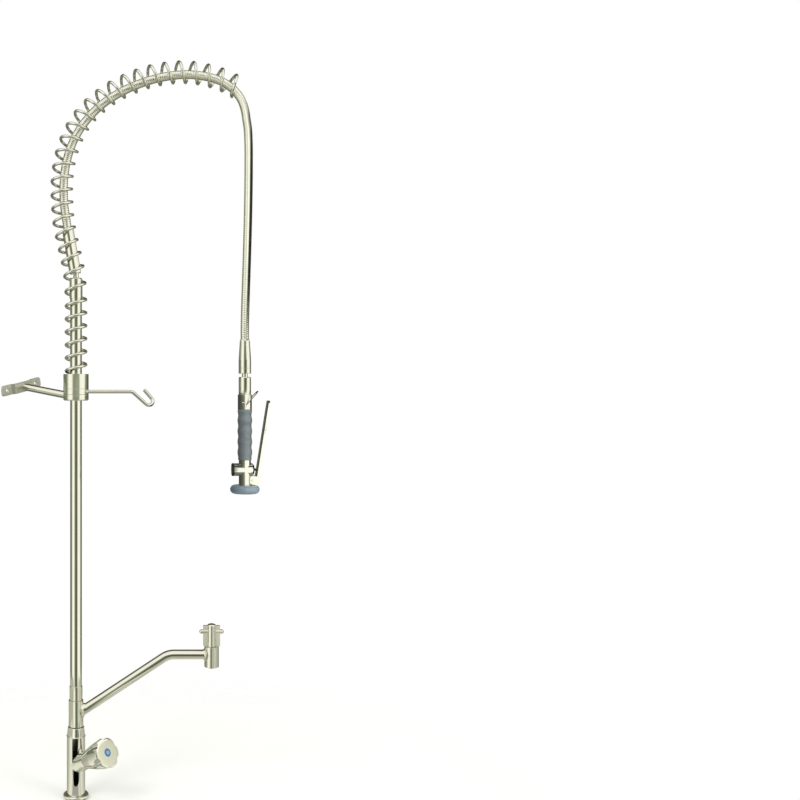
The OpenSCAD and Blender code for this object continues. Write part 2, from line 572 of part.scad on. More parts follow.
module valve_body() color(chrome) hand_frame() difference() {
    union() {
        translate([0, 0, 530.5]) cylinder(r = 10.25, h = 42.4);
        translate([0, 0, 521]) cylinder(r = 9.5, h = 12);
        translate([-18.4, 0, barrel_z]) rotate([0, 90, 0]) cylinder(r = 10.75, h = 31);
        translate([12.6, 0, barrel_z]) rotate([0, 90, 0]) cylinder(r1 = 10.75, r2 = 7.5, h = 3);
        translate([lever_px, 6.9, lever_pz]) rotate([90, 0, 0]) cylinder(r = 4.3, h = 13.8);
        translate([4, -6.9, lever_pz - 4.3]) cube([lever_px - 4, 13.8, 8.6]);
    }
    translate([0, 0, 569]) cylinder(r = 8.02, h = 10);
    translate([-5, 0, 558]) cylinder(r = 2.9, h = 14);
    // spring chamber, seat, outlet chamber, stem guide
    translate([-19, 0, barrel_z]) rotate([0, 90, 0]) cylinder(r = 7.5, h = 17);
    translate([-3, 0, barrel_z]) rotate([0, 90, 0]) cylinder(r = 4, h = 8);
    translate([0, 0, barrel_z]) rotate([0, 90, 0]) cylinder(r = 5, h = 7);
    translate([5, 0, barrel_z]) rotate([0, 90, 0]) cylinder(r = 2.25, h = 20);
    translate([11.6, 0, barrel_z]) rotate([0, 90, 0]) cylinder(r = 4.2, h = 10);
    translate([3, 0, 515]) cylinder(r = 3.2, h = barrel_z - 515);
    translate([lever_px, 20, lever_pz]) rotate([90, 0, 0]) cylinder(r = 1.52, h = 40);
}
module barrel_cap() color("dimgray") hand_frame() translate([-18.5, 0, barrel_z]) rotate([0, -90, 0]) {
    cylinder(r = 11, h = 3);
    translate([0, 0, 3]) cylinder(r1 = 11, r2 = 10, h = 1);
    translate([0, 0, -3.5]) cylinder(r = 7.45, h = 4);
}
module valve_spring() color(steel) hand_frame() translate([-14.8, 0, barrel_z]) rotate([0, 90, 0])
    helix(5.0, 0.5, 7.2, 4.5, 10, 6);
module helix(R, r, h, turns, per_turn, sides) {
    n = ceil(turns * per_turn);
    pts = [for (i = [0:n]) let (a = 360 * turns * i / n, z = r + (h - 2 * r) * i / n)
        for (k = [0:sides - 1]) let (v = 360 * k / sides)
            [(R + r * cos(v)) * cos(a), (R + r * cos(v)) * sin(a), z + r * sin(v)]];
    faces = concat([[for (k = [0:sides - 1]) k]],
        [for (i = [0:n - 1]) for (k = [0:sides - 1]) let (m = (k + 1) % sides)
            [i * sides + k, (i + 1) * sides + k, (i + 1) * sides + m, i * sides + m]],
        [[for (k = [0:sides - 1]) n * sides + sides - 1 - k]]);
    polyhedron(points = pts, faces = faces, convexity = 10);
}
module stem_seal() color("darkslategray") hand_frame() translate([11.65, 0, barrel_z]) rotate([0, 90, 0])
    difference() {
        cylinder(r = 4.15, h = 4.4);
        translate([0, 0, -1]) cylinder(r = 2.25, h = 10);
    }
module lever_pin() color(steel) hand_frame() translate([lever_px, 9.6, lever_pz]) rotate([90, 0, 0])
    cylinder(r = 1.5, h = 19.2);
module spray_bumper() color(blue_grey) hand_frame() rotate_extrude() difference() {
    union() {
        translate([9.55, 516]) square([bumper_r - 7.4 - 9.55, 14.2]);
        translate([bumper_r - 7.3, 523.2]) circle(r = 7.3, $fn = 48);
    }
    translate([0, 500]) square([30, 16.2]);
    translate([0, 530.2]) square([30, 5]);
    translate([0, 510]) square([17.05, 9.6]);
}
module spray_plate() color(steel) hand_frame() difference() {
    union() {
        translate([0, 0, 516.7]) cylinder(r = 17, h = 2.5);
        translate([0, 0, 515.6]) cylinder(r1 = 14.5, r2 = 15.5, h = 1.3);
    }
    for (n = [[6, 5], [12, 9.5], [15, 13]]) for (i = [0:n[0] - 1]) rotate([0, 0, i * 360 / n[0]])
        translate([n[1], 0, 510]) cylinder(r = 0.8, h = 12, $fn = 16);
    translate([0, 0, 510]) cylinder(r = 0.8, h = 12, $fn = 16);
}

// ---------------------------------------------------------------- lever, plunger, clip
module lever_cheek() {
    translate([0, -2.4]) circle(r = 4.7);
    polygon([[-4.7, -2.4], [-4.7, 4.5], [-4.2, 6.2], [-2.8, 7], [4.2, 8], [4.2, 135], [8.3, 135], [10.7, 42],
        [12.2, 8], [13, -7.1], [0, -7.1]]);
}
module trigger_lever() color(chrome) lever_frame() difference() {
    union() {
        translate([4.2, -8.5, 8]) cube([1.4, 17, 128]);
        for (y = [-7.3, 8.5]) translate([0, y, 0]) rotate([90, 0, 0]) linear_extrude(1.2) lever_cheek();
        translate([6.3, 8.5, 135.6]) rotate([90, 0, 0]) cylinder(r = 2.1, h = 17);
    }
    translate([0, 20, 0]) rotate([90, 0, 0]) cylinder(r = 1.55, h = 40);
}
module valve_plunger() color("teal") hand_frame() translate([0, 0, barrel_z]) rotate([0, 90, 0]) {
    translate([0, 0, -4]) cylinder(r = 2.2, h = 22.5);
    translate([0, 0, 18.5]) cylinder(r1 = 2.2, r2 = 1.5, h = 0.7);
    translate([0, 0, -7]) cylinder(r = 6, h = 3.4);
    translate([0, 0, -3.7]) cylinder(r = 5.6, h = 1.6);
}
module hold_clip() color(steel) hand_frame() translate([clip_px, 0, clip_pz]) rotate([0, -48, 0]) {
    for (m = [0, 1]) mirror([0, m, 0]) {
        translate([0, 10.4, 0]) rotate([-90, 0, 0]) cylinder(r = 0.8, h = 2.9);
        translate([0, 13.2, 0]) sphere(r = 0.8, $fn = 24);
        translate([0, 13.2, 0]) rotate([0, 90, 0]) cylinder(r = 0.8, h = 17);
    }
    translate([17, 0, 0]) rotate([0, 0, -90]) rotate_extrude(angle = 180) translate([13.2, 0]) circle(r = 0.8, $fn = 24);
}

inlet_shank();
deck_gasket();
base_flange();
base_body();
deck_washer();
back_nut();
headwork_bonnet();
headwork_seal();
swivel_nut();
swivel_core();
swivel_orings();
swivel_washer();
riser_sleeve();
riser_tube();
spring_cup();
hook_ring();
handset_hook();
bracket_ring();
bracket_arm();
wall_bracket();
grub_screws();
lower_hose_nut();
lower_hose_washer();
tap_knob();
tap_spindle();
knob_screw();
knob_index();
valve_jumper();
jumper_washer();
spout_hub();
spout_tube();
outlet_body();
outlet_cartridge();
aerator_ring();
aerator_screen();
outlet_spindle();
wing_handle();
handle_pin();
balance_spring();
lower_hose_nipple();
lower_hose_ferrule();
hose_arch();
hose_drop();
upper_hose_ferrule();
upper_hose_nipple();
upper_hose_nut();
upper_hose_washer();
handset_pipe();
clip_collar();
grip_sleeve();
valve_body();
barrel_cap();
valve_spring();
stem_seal();
lever_pin();
spray_bumper();
spray_plate();
trigger_lever();
valve_plunger();
hold_clip();
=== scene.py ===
import bpy
import numpy as np
from math import sin, cos, pi, radians, atan2, sqrt, tan
from mathutils import Matrix, Vector
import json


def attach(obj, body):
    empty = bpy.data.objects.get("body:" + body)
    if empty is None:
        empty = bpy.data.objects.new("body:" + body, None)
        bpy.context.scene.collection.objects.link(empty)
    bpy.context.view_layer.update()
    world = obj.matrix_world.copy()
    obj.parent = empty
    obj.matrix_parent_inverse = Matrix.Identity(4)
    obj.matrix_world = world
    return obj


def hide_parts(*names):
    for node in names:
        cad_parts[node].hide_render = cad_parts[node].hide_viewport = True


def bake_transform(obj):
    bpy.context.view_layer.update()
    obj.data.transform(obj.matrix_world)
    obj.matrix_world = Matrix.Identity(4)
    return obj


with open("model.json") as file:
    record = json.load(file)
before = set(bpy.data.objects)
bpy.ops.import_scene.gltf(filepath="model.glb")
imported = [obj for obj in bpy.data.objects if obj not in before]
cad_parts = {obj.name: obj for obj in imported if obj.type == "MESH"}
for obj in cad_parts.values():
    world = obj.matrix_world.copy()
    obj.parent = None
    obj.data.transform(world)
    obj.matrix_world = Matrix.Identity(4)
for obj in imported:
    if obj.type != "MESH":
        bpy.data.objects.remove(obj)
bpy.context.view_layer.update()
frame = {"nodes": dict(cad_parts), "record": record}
MM = 0.001
scene = bpy.context.scene

# ---------------------------------------------------------------- camera
# level camera in front of the riser, at the collar's height; 1.36 m of the object's plane across the picture
CAM_D = 1.7
CAM_X = 0.10
CAM_Z = 0.70
SPAN = 1.36
CENTRE = (0.5508, 0.6749)
cam_data = bpy.data.cameras.new("camera")
cam_data.sensor_width = 36.0
cam_data.lens = 36.0 * CAM_D / SPAN
cam_data.shift_x = (CENTRE[0] - CAM_X) / SPAN
cam_data.shift_y = (CENTRE[1] - CAM_Z) / SPAN
cam_data.clip_end = 100.0
cam = bpy.data.objects.new("camera", cam_data)
scene.collection.objects.link(cam)
cam.location = (CAM_X, -CAM_D, CAM_Z)
cam.rotation_euler = (pi / 2, 0.0, 0.0)
scene.camera = cam

scene.view_settings.view_transform = "Standard"
scene.view_settings.look = "None"
scene.view_settings.exposure = 0.0
scene.view_settings.gamma = 1.0


# ---------------------------------------------------------------- node helpers
class Nodes:
    def __init__(self, tree):
        self.t = tree
        self.x = -1600

    def add(self, kind, **props):
        n = self.t.nodes.new(kind)
        n.location = (self.x, 0)
        self.x += 120
        for k, v in props.items():
            setattr(n, k, v)
        return n

    def put(self, socket, value):
        if isinstance(value, bpy.types.NodeSocket):
            self.t.links.new(value, socket)
        elif value is not None:
            if socket.type == "RGBA" and len(value) == 3:
                value = (*value, 1.0)
            socket.default_value = value

    def math(self, op, a, b=None, c=None, clamp=False):
        n = self.add("ShaderNodeMath", operation=op, use_clamp=clamp)
        for s, v in zip(n.inputs, (a, b, c)):
            self.put(s, v)
        return n.outputs[0]

    def vec(self, op, a, b=None, scale=None):
        n = self.add("ShaderNodeVectorMath", operation=op)
        self.put(n.inputs[0], a)
        if b is not None:
            self.put(n.inputs[1], b)
        if scale is not None:
            self.put(n.inputs["Scale"], scale)
        return n.outputs["Value"] if op in ("DOT_PRODUCT", "LENGTH", "DISTANCE") else n.outputs[0]

    def ramp(self, value, stops, mode="LINEAR"):
        n = self.add("ShaderNodeValToRGB")
        n.color_ramp.interpolation = mode
        el = n.color_ramp.elements
        while len(el) > 1:
            el.remove(el[-1])
        for i, (p, c) in enumerate(stops):
            e = el[0] if i == 0 else el.new(p)
            e.position = p
            e.color = (*c, 1.0) if len(c) == 3 else c
        self.put(n.inputs[0], value)
        return n.outputs[0]

    def remap(self, value, a, b, c=0.0, d=1.0, smooth=False):
        n = self.add("ShaderNodeMapRange", interpolation_type="SMOOTHSTEP" if smooth else "LINEAR")
        for s, v in zip(n.inputs, (value, a, b, c, d)):
            self.put(s, v)
        return n.outputs[0]

    def noise(self, vector, scale, detail=3.0, rough=0.5, dims="3D"):
        n = self.add("ShaderNodeTexNoise", noise_dimensions=dims)
        self.put(n.inputs["Vector"], vector)
        n.inputs["Scale"].default_value = scale
        n.inputs["Detail"].default_value = detail
        n.inputs["Roughness"].default_value = rough
        return n.outputs["Fac"]

    def mapping(self, vector, scale=(1, 1, 1), rot=(0, 0, 0), loc=(0, 0, 0)):
        n = self.add("ShaderNodeMapping")
        self.put(n.inputs["Vector"], vector)
        n.inputs["Scale"].default_value = scale
        n.inputs["Rotation"].default_value = rot
        n.inputs["Location"].default_value = loc
        return n.outputs[0]

    def mix(self, fac, a, b, blend="MIX"):
        n = self.add("ShaderNodeMix", data_type="RGBA", blend_type=blend)
        self.put(n.inputs[0], fac)
        self.put(n.inputs[6], a)
        self.put(n.inputs[7], b)
        return n.outputs[2]

    def bump(self, height, strength, distance, normal=None):
        n = self.add("ShaderNodeBump")
        n.inputs["Strength"].default_value = strength
        n.inputs["Distance"].default_value = distance
        self.put(n.inputs["Height"], height)
        if normal is not None:
            self.put(n.inputs["Normal"], normal)
        return n.outputs[0]


def new_material(name):
    m = bpy.data.materials.new(name)
    m.use_nodes = True
    t = m.node_tree
    t.nodes.clear()
    n = Nodes(t)
    out = n.add("ShaderNodeOutputMaterial")
    bsdf = n.add("ShaderNodeBsdfPrincipled")
    t.links.new(bsdf.outputs[0], out.inputs[0])
    obj = n.add("ShaderNodeTexCoord").outputs["Object"]
    return m, n, bsdf, obj


def metal(name, color, rough, spread=0.05, tint=0.04, grain=(1, 1, 1), grain_scale=700.0, grain_bump=0.02,
          smudge=30.0, metallic=1.0):
    """Polished or brushed metal: base colour with a slight drift, roughness with smudges, and fine polishing lines."""
    m, n, b, p = new_material(name)
    b.inputs["Metallic"].default_value = metallic
    cloud = n.noise(p, smudge, 4.0, 0.55)
    lines = n.noise(n.mapping(p, scale=grain), grain_scale, 2.0, 0.6)
    dark = tuple(max(0.0, c * (1 - tint)) for c in color)
    light = tuple(min(1.0, c * (1 + tint)) for c in color)
    n.put(b.inputs["Base Color"], n.mix(n.remap(cloud, 0.3, 0.7), dark, light))
    r = n.math("ADD", n.remap(cloud, 0.3, 0.7, rough - spread, rough + spread),
               n.math("MULTIPLY", n.math("SUBTRACT", lines, 0.5), spread * 1.5), clamp=True)
    n.put(b.inputs["Roughness"], r)
    if grain_bump:
        n.put(b.inputs["Normal"], n.bump(lines, grain_bump, 0.0002))
    return m


MAT = {}
MAT["chrome_plate"] = metal("chrome_plate", (0.80, 0.80, 0.74), 0.06, spread=0.015, tint=0.02, grain_scale=900,
                            grain_bump=0.003, smudge=18)
MAT["polished_steel"] = metal("polished_steel", (0.78, 0.775, 0.70), 0.11, spread=0.02, tint=0.02, grain=(1, 1, 0.02),
                              grain_scale=2600, grain_bump=0.003)
MAT["turned_steel"] = metal("turned_steel", (0.78, 0.775, 0.70), 0.12, spread=0.02, tint=0.02, grain=(0.05, 0.05, 1),
                            grain_scale=2600, grain_bump=0.004)
MAT["satin_steel"] = metal("satin_steel", (0.62, 0.625, 0.54), 0.30, spread=0.04, tint=0.04, grain=(1, 1, 0.02),
                           grain_scale=2400, grain_bump=0.012, metallic=0.75)
MAT["satin_hub"] = metal("satin_hub", (0.77, 0.765, 0.68), 0.16, spread=0.02, tint=0.02, grain=(0.05, 0.05, 1),
                         grain_scale=2600, grain_bump=0.004)
# wing-handle flats: a paler, half-dielectric metal whose beige colour is a painted bright reflection
MAT["wing_flat_painted_reflection"] = metal("wing_flat_painted_reflection", (0.60, 0.585, 0.47), 0.36, spread=0.04, tint=0.03, grain_scale=1600,
                          grain_bump=0.004, metallic=0.45)
# flat cheeks: a cream, half-dielectric metal whose colour is a painted bright reflection
MAT["cream_painted_reflection"] = metal("cream_painted_reflection", (0.88, 0.87, 0.78), 0.30, spread=0.03, tint=0.02, grain_scale=1600,
                          grain_bump=0.004, metallic=0.35)
# knob face: a brighter copy of the chrome, a painted bright reflection
MAT["face_painted_bright_chrome"] = metal("face_painted_bright_chrome", (0.97, 0.97, 0.87), 0.16, spread=0.02, tint=0.02, grain_scale=1200,
                           grain_bump=0.003)
# chrome darkened to near black for the hold clip: a painted dark reflection
MAT["chrome_painted_dark_reflection"] = metal("chrome_painted_dark_reflection", (0.22, 0.22, 0.20), 0.12, spread=0.02, tint=0.03, grain_scale=1200,
                           grain_bump=0.004)
MAT["wire_steel"] = metal("wire_steel", (0.76, 0.76, 0.68), 0.12, spread=0.02, tint=0.03, grain_scale=1200, grain_bump=0.006)
MAT["armour_steel"] = metal("armour_steel", (0.84, 0.84, 0.76), 0.14, spread=0.03, tint=0.03, grain_scale=1500,
                            grain_bump=0.01)
MAT["dark_steel"] = metal("dark_steel", (0.20, 0.20, 0.19), 0.30, spread=0.05, tint=0.06, grain_scale=1500, grain_bump=0.03)
MAT["brass"] = metal("brass", (0.72, 0.55, 0.27), 0.24, spread=0.06, tint=0.06, grain=(0.05, 0.05, 1), grain_scale=2000, grain_bump=0.05)


def moulded(name, color, rough, tint=0.08, grain_scale=1800.0, grain_bump=0.12, sheen=0.0, coat=0.0, spec=0.5):
    """Moulded rubber or plastic: slight colour drift, fine leathery grain, handling marks in the roughness."""
    m, n, b, p = new_material(name)
    cloud = n.noise(p, 45.0, 4.0, 0.6)
    grain = n.noise(p, grain_scale, 2.0, 0.5)
    dark = tuple(c * (1 - tint) for c in color)
    light = tuple(min(1.0, c * (1 + tint)) for c in color)
    n.put(b.inputs["Base Color"], n.mix(n.remap(cloud, 0.3, 0.7), dark, light))
    n.put(b.inputs["Roughness"], n.remap(cloud, 0.25, 0.75, rough - 0.06, rough + 0.06))
    n.put(b.inputs["Normal"], n.bump(grain, grain_bump, 0.0001))
    b.inputs["Specular IOR Level"].default_value = spec
    if coat:
        b.inputs["Coat Weight"].default_value = coat
        b.inputs["Coat Roughness"].default_value = 0.12
    if sheen:
        b.inputs["Sheen Weight"].default_value = sheen
        b.inputs["Sheen Roughness"].default_value = 0.4
    return m


MAT["black_rubber"] = moulded("black_rubber", (0.018, 0.018, 0.018), 0.55)
MAT["grip_rubber"] = moulded("grip_rubber", (0.16, 0.186, 0.212), 0.34, tint=0.03, grain_bump=0.004, spec=0.75)
MAT["bumper_rubber"] = moulded("bumper_rubber", (0.205, 0.27, 0.34), 0.20, tint=0.03, grain_bump=0.003, spec=0.9)
MAT["black_plastic"] = moulded("black_plastic", (0.012, 0.012, 0.013), 0.30, grain_bump=0.04)
MAT["white_plastic"] = moulded("white_plastic", (0.62, 0.62, 0.58), 0.40, grain_bump=0.04)
MAT["teal_plastic"] = moulded("teal_plastic", (0.03, 0.12, 0.135), 0.30, grain_bump=0.03)
MAT["blue_plastic"] = moulded("blue_plastic", (0.03, 0.17, 0.36), 0.22, grain_bump=0.01)
MAT["pale_plastic"] = moulded("pale_plastic", (0.25, 0.34, 0.50), 0.28, grain_bump=0.01)



def lever_material():
    """Pressed lever: pale polished flanges whose half-dielectric pale colour is a painted bright reflection, and a
    painted dark reflection on the web, the bend into it and the curl at its tip.
    """
    m, n, b, p = new_material("lever_chrome")
    b.inputs["Metallic"].default_value = 0.5
    sep = n.add("ShaderNodeSeparateXYZ")
    n.put(sep.inputs[0], n.mapping(n.vec("SUBTRACT", p, (0.2995, 0.0, 0.539)), rot=(0, -radians(9), 0)))
    face = n.remap(sep.outputs["X"], 0.0048, 0.0050, 1, 0, True)
    bend = n.math("MULTIPLY", n.remap(sep.outputs["X"], 0.0062, 0.0067, 1, 0, True),
                  n.remap(n.math("ABSOLUTE", sep.outputs["Y"]), 0.0074, 0.0078, 0, 1, True))
    web = n.math("MAXIMUM", face, bend)
    high = n.remap(sep.outputs["Z"], 0.0070, 0.0080, 0, 1, True)
    curl = n.remap(sep.outputs["Z"], 0.1325, 0.1345, 0, 1, True)
    # where the chrome lever is painted near black: a painted dark reflection on the web, its bend and the curl
    painted_dark_reflection_mask = n.math("MAXIMUM", n.math("MULTIPLY", web, high), curl)
    cloud = n.noise(p, 22.0, 3.0)
    pale = n.mix(n.remap(cloud, 0.3, 0.7), (0.84, 0.83, 0.74), (0.90, 0.89, 0.80))
    # base colour: pale flanges as a painted bright reflection, near-black painted dark reflection under the mask
    n.put(b.inputs["Base Color"], n.mix(painted_dark_reflection_mask, pale, (0.035, 0.035, 0.032)))
    n.put(b.inputs["Roughness"], n.remap(cloud, 0.3, 0.7, 0.24, 0.30))
    return m


MAT["lever_chrome"] = lever_material()

# ---------------------------------------------------------------- materials of the CAD nodes
SLOT = {s["node"]: s["material_slot"] for s in frame["record"]["subparts"]}
TURNED = {"riser_sleeve", "spring_cup", "hook_ring", "bracket_ring", "lower_hose_nut",
          "aerator_ring", "upper_hose_nut", "upper_hose_ferrule", "upper_hose_nipple", "lower_hose_nipple",
          "lower_hose_ferrule", "handle_pin", "lever_pin"}
# hold_clip: chrome with a painted dark reflection; trigger_lever: painted reflections on flanges and web
SPECIAL = {"spout_hub": "satin_hub", "outlet_body": "satin_hub", "spray_bumper": "bumper_rubber",
           "wall_bracket": "satin_steel", "riser_sleeve": "satin_hub", "spring_cup": "satin_hub",
           "hook_ring": "satin_hub", "bracket_ring": "satin_hub", "hold_clip": "chrome_painted_dark_reflection",
           "trigger_lever": "lever_chrome"}
for name, o in frame["nodes"].items():
    key = SPECIAL.get(name, "turned_steel" if name in TURNED else SLOT[name])
    o.data.materials.clear()
    o.data.materials.append(MAT[key])


def second(name, key, test):
    """A second material on those faces of a CAD node that pass the test (centre in mm, normal); on the wing flats and
    the knob face it is a painted bright reflection.
    """
    o = frame["nodes"][name]
    o.data.materials.append(MAT[key])
    m = o.matrix_world
    r = m.to_3x3()
    for p in o.data.polygons:
        if test(np.array(m @ p.center) / MM, np.array(r @ p.normal)):
            p.material_index = 1


KNOB_AXIS = np.array([cos(radians(27)) * cos(radians(-45)), cos(radians(27)) * sin(radians(-45)), sin(radians(27))])


def from_knob(c):
    v = c - np.array([0, 0, 56.0])
    return v @ KNOB_AXIS, np.linalg.norm(v - (v @ KNOB_AXIS) * KNOB_AXIS)


# wing flats and knob face get a brighter material: a painted bright reflection on the chrome
second("wing_handle", "wing_flat_painted_reflection", lambda c, n: abs(c[0] - 230.5) > 7.0 and abs(n[1]) > 0.9 and abs(c[1]) < 3)
second("tap_knob", "face_painted_bright_chrome", lambda c, n: n @ KNOB_AXIS > 0.9 and from_knob(c)[0] > 78)
second("knob_index", "pale_plastic", lambda c, n: from_knob(c)[0] > 87 and from_knob(c)[1] < 3.4)


def soften(o, width=0.25, angle=34):
    """Small bevel on a CAD node's sharp edges, so that they catch the light."""
    w = o.modifiers.new("weld", "WELD")
    w.merge_threshold = 2e-6
    b = o.modifiers.new("bevel", "BEVEL")
    b.width = width * MM
    b.segments = 2
    b.limit_method = "ANGLE"
    b.angle_limit = radians(angle)
    b.harden_normals = False
    b.use_clamp_overlap = True
    for p in o.data.polygons:
        p.use_smooth = True
    o.data.update()
    n = o.modifiers.new("normals", "WEIGHTED_NORMAL")
    n.keep_sharp = True


# ---------------------------------------------------------------- mesh helpers
def make(name, verts, faces, mat, body=None, smooth=True, sharp=None):
    me = bpy.data.meshes.new(name)
    me.from_pydata([tuple(v) for v in verts], [], faces)
    me.validate()
    if isinstance(mat, (list, tuple)):
        for m in mat:
            me.materials.append(m)
    else:
        me.materials.append(mat)
    if smooth:
        me.polygons.foreach_set("use_smooth", [True] * len(me.polygons))
        if sharp is not None:
            me.set_sharp_from_angle(angle=radians(sharp))
    me.update()
    o = bpy.data.objects.new(name, me)
    scene.collection.objects.link(o)
    if body:
        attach(o, body)
    return o


def catmull(route, k):
    p = np.array(route, float)
    q = np.vstack([2 * p[0] - p[1], p, 2 * p[-1] - p[-2]])
    out = []
    for i in range(len(p) - 1):
        a, b, c, d = q[i:i + 4]
        for j in range(k):
            t = j / k
            out.append(0.5 * (2 * b + (c - a) * t + (2 * a - 5 * b + 4 * c - d) * t * t
                              + (3 * b - a - 3 * c + d) * t ** 3))
    out.append(p[-1])
    return np.array(out)


class Route:
    """A smooth line through points, read by its distance along."""

    def __init__(self, pts, k=12):
        self.p = catmull(pts, k)
        self.s = np.concatenate([[0], np.cumsum(np.linalg.norm(np.diff(self.p, axis=0), axis=1))])
        self.length = float(self.s[-1])

    def at(self, d):
        return np.stack([np.interp(d, self.s, self.p[:, i]) for i in range(self.p.shape[1])], -1)


def grid_faces(rings, sides, close_u=True, first=0):
    f = []
    for i in range(rings - 1):
        for k in range(sides if close_u else sides - 1):
            m = (k + 1) % sides
            f.append((first + i * sides + k, first + i * sides + m, first + (i + 1) * sides + m, first + (i + 1) * sides + k))
    return f


def tube_mesh(centres, radii, sides, caps=True):
    """Vertices and faces of a tube along centres (n x 3), with parallel-transported frames."""
    c = np.asarray(centres, float)
    r = np.broadcast_to(np.asarray(radii, float), (len(c),))
    t = np.gradient(c, axis=0)
    t /= np.linalg.norm(t, axis=1)[:, None]
    n = np.zeros_like(t)
    ref = np.array([0.0, 1.0, 0.0])
    if abs(t[0] @ ref) > 0.9:
        ref = np.array([1.0, 0.0, 0.0])
    v = ref - (ref @ t[0]) * t[0]
    n[0] = v / np.linalg.norm(v)
    for i in range(1, len(c)):
        v = n[i - 1] - (n[i - 1] @ t[i]) * t[i]
        n[i] = v / np.linalg.norm(v)
    b = np.cross(t, n)
    a = np.linspace(0, 2 * pi, sides, endpoint=False)
    verts = (c[:, None, :] + r[:, None, None] * (np.cos(a)[None, :, None] * n[:, None, :]
                                                 + np.sin(a)[None, :, None] * b[:, None, :])).reshape(-1, 3)
    faces = grid_faces(len(c), sides)
    if caps:
        faces.append(tuple(reversed(range(sides))))
        faces.append(tuple((len(c) - 1) * sides + k for k in range(sides)))
    return verts, faces


def lathe(name, profile, mat, body, slot, place=None, segs=96, replaces=(), sharp=30):
    """Solid of revolution about +Z (mm), profile is a closed list of (r, z)."""
    prof = np.array(profile, float)
    a = np.linspace(0, 2 * pi, segs, endpoint=False)
    n = len(prof)
    verts = np.zeros((n * segs, 3))
    for i, (r, z) in enumerate(prof):
        verts[i * segs:(i + 1) * segs] = np.stack([r * np.cos(a), r * np.sin(a), np.full(segs, z)], -1)
    faces = []
    for i in range(n):
        j = (i + 1) % n
        for k in range(segs):
            m = (k + 1) % segs
            faces.append((i * segs + k, i * segs + m, j * segs + m, j * segs + k))
    verts *= MM
    if place is not None:
        verts = verts @ np.array(place.to_3x3()).T + np.array(place.translation)
    o = make(name, verts, faces, mat, body, sharp=sharp)
    if replaces:
        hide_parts(*replaces)
    return o


def round_corners(pts, r, steps=4):
    """Replaces each corner (x, y, r) of a closed outline by a small arc. pts are (x, y) or (x, y, r)."""
    out = []
    n = len(pts)
    for i in range(n):
        p0 = np.array(pts[i - 1][:2], float)
        p1 = np.array(pts[i][:2], float)
        p2 = np.array(pts[(i + 1) % n][:2], float)
        rr = pts[i][2] if len(pts[i]) > 2 else r
        a, b = p0 - p1, p2 - p1
        la, lb = np.linalg.norm(a), np.linalg.norm(b)
        if rr <= 0 or la < 1e-9 or lb < 1e-9:
            out.append(tuple(p1))
            continue
        a, b = a / la, b / lb
        ang = np.arccos(np.clip(a @ b, -1, 1))
        if ang > pi - 0.05:
            out.append(tuple(p1))
            continue
        t = min(rr / tan(ang / 2), la * 0.48, lb * 0.48)
        rad = t * tan(ang / 2)
        bis = (a + b) / np.linalg.norm(a + b)
        cen = p1 + bis * rad / sin(ang / 2)
        s, e = p1 + a * t - cen, p1 + b * t - cen
        a0, a1 = atan2(s[1], s[0]), atan2(e[1], e[0])
        d = (a1 - a0 + pi) % (2 * pi) - pi
        for k in range(steps + 1):
            q = a0 + d * k / steps
            out.append((cen[0] + rad * cos(q), cen[1] + rad * sin(q)))
    return out


# ---------------------------------------------------------------- hose
ARCH_ROUTE = [[-14.1, 964.9], [-17, 984], [-20, 1005], [-21, 1030], [-20, 1055], [-16, 1080], [-9, 1104],
              [0, 1124], [12, 1143], [26, 1160], [44, 1177], [64, 1191], [86, 1203], [110, 1213],
              [136, 1221], [162, 1226], [188, 1228], [212, 1226], [232, 1222], [250, 1215], [266, 1204],
              [278, 1190], [284, 1178], [287.8, 1165], [290, 1150]]
DROP_ROUTE = [[290, 1150], [292.3, 1134.6], [293.4, 1110], [293.6, 1080], [293.2, 1030], [292, 970], [290, 900], [288, 840],
              [287, 800], [287, 776]]
SPRING_ROUTE = [[0, 690], [0, 740], [0, 790], [0, 840], [-1, 868], [-3, 890], [-7, 912], [-12, 934],
                [-17, 956], [-21, 978], [-23, 1000], [-24, 1022], [-24, 1044], [-22, 1066], [-18, 1088],
                [-12, 1108], [-4, 1127], [6, 1145], [18, 1161], [32, 1175], [48, 1188], [66, 1200],
                [86, 1210], [108, 1219], [131, 1226], [154, 1230], [177, 1232], [200, 1231], [222, 1227],
                [243, 1221], [262, 1213], [278, 1203]]


def xz(route):
    return [[x, 0.0, z] for x, z in route]


hose_route = Route(xz(ARCH_ROUTE + DROP_ROUTE[1:]))
PITCH = 3.1
# interlocked strip: each turn overlaps the next one with a rounded shoulder
turn = [(0.00, 6.85), (0.10, 7.14), (0.30, 7.25), (0.58, 7.24), (0.80, 7.14), (0.90, 6.88)]
n_turns = int(hose_route.length / PITCH)
pitch = hose_route.length / n_turns
ds, rs = [], []
for i in range(n_turns):
    for u, r in turn:
        ds.append((i + u) * pitch)
        rs.append(r)
ds.append(hose_route.length)
rs.append(6.85)
centres = hose_route.at(np.array(ds))
v, f = tube_mesh(centres * MM, np.array(rs) * MM, 28)
hose = make("armoured_hose", v, f, MAT["armour_steel"])
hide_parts("hose_arch", "hose_drop")
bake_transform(hose)

# ---------------------------------------------------------------- balance spring
spring_route = Route(xz(SPRING_ROUTE), 6)


# turns, and distance along the route in pitches
WIND = [[0, 0], [1, 0.24], [7.25, 6.36], [9.25, 8.8], [11.25, 10.8], [15.25, 14.82], [33.3, 33.42]]


